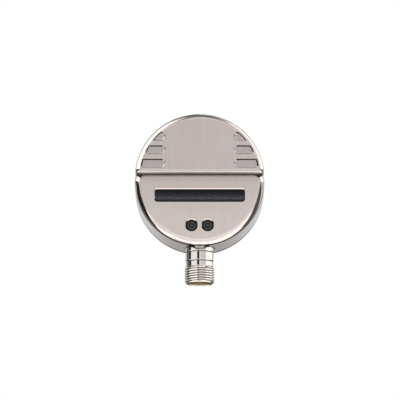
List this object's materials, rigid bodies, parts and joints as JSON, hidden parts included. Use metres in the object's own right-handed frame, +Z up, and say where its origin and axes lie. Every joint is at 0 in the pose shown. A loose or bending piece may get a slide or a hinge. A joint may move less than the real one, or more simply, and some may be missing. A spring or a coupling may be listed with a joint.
{
  "type": "flow switch",
  "caption": "Round stainless flow switch with bar display, recessed keys, a swivelling head, plug connector and screw-in probe.",
  "frame": {"origin": "on the probe's axis, where the process thread meets the hexagon's sealing face", "axes": "+X right of the display, +Y along the process thread and probe away from the display, +Z up, with the connector pointing down"},
  "size_m": [0.052, 0.089, 0.066],
  "materials": {
    "stainless_steel": "fine blasted and brushed stainless steel",
    "spring_steel": "bright spring steel",
    "smoked_window": "smoked clear plastic, polished",
    "black_rubber": "matt black rubber",
    "key_plastic": "satin black plastic",
    "black_plastic": "matt black plastic",
    "white_plastic": "natural white plastic",
    "aluminium_can": "drawn aluminium",
    "circuit_board": "green solder mask",
    "lamp_lens": "clear lamp lens",
    "brass": "turned brass",
    "gold_plated": "gold plated brass",
    "nickel_plate": "bright nickel plate",
    "lead_jacket": "wire insulation",
    "white_ceramic": "fired ceramic",
    "chip_dark": "glazed chip"
  },
  "bodies": {
    "process": {"process_body": "stainless_steel", "stop_pin": "stainless_steel", "thrust_washer": "white_plastic", "swivel_seal": "black_rubber", "swivel_circlip": "spring_steel", "probe_tube": "stainless_steel", "sensor_strip": "white_ceramic", "strip_collar": "white_plastic", "heater_chip": "chip_dark", "flow_sensing_chip": "chip_dark", "media_sensing_chip": "chip_dark", "probe_leads": "lead_jacket"},
    "head": {"bargraph_lamps": "lamp_lens", "board_header": "black_plastic", "board_screws": "spring_steel", "board_spacers": "brass", "connector_insert": "black_plastic", "connector_leads": "lead_jacket", "connector_lock_nut": "nickel_plate", "connector_seal": "black_rubber", "connector_shell": "nickel_plate", "contact_pin_1": "gold_plated", "contact_pin_2": "gold_plated", "contact_pin_3": "gold_plated", "contact_pin_4": "gold_plated", "display_board": "circuit_board", "display_window": "smoked_window", "filter_capacitor": "aluminium_can", "housing": "stainless_steel", "inductor": "black_plastic", "inner_carrier": "black_plastic", "key_mat": "black_rubber", "lead_terminal": "white_plastic", "left_switch_base": "black_plastic", "light_baffle": "black_plastic", "main_board": "circuit_board", "microcontroller": "black_plastic", "output_driver": "black_plastic", "probe_socket": "white_plastic", "rear_cover": "stainless_steel", "rear_cover_gasket": "black_rubber", "retaining_ring": "spring_steel", "right_switch_base": "black_plastic", "swivel_bush": "white_plastic", "voltage_regulator": "black_plastic", "window_gasket": "black_rubber"},
    "left_button": {"left_key": "key_plastic", "left_switch_plunger": "key_plastic"},
    "right_button": {"right_key": "key_plastic", "right_switch_plunger": "key_plastic"}
  },
  "joints": [
    {"name": "head_swivel", "type": "hinge", "parent": "process", "child": "head", "pos_m": [0, 0, 0], "axis": [0, 1, 0], "range_deg": [-172, 172]},
    {"name": "left_key_press", "type": "slide", "parent": "head", "child": "left_button", "axis": [0, 1, 0], "range_m": [0, 0.0005], "stiffness_N_per_m": 1500},
    {"name": "right_key_press", "type": "slide", "parent": "head", "child": "right_button", "axis": [0, 1, 0], "range_m": [0, 0.0005], "stiffness_N_per_m": 1500}
  ]
}
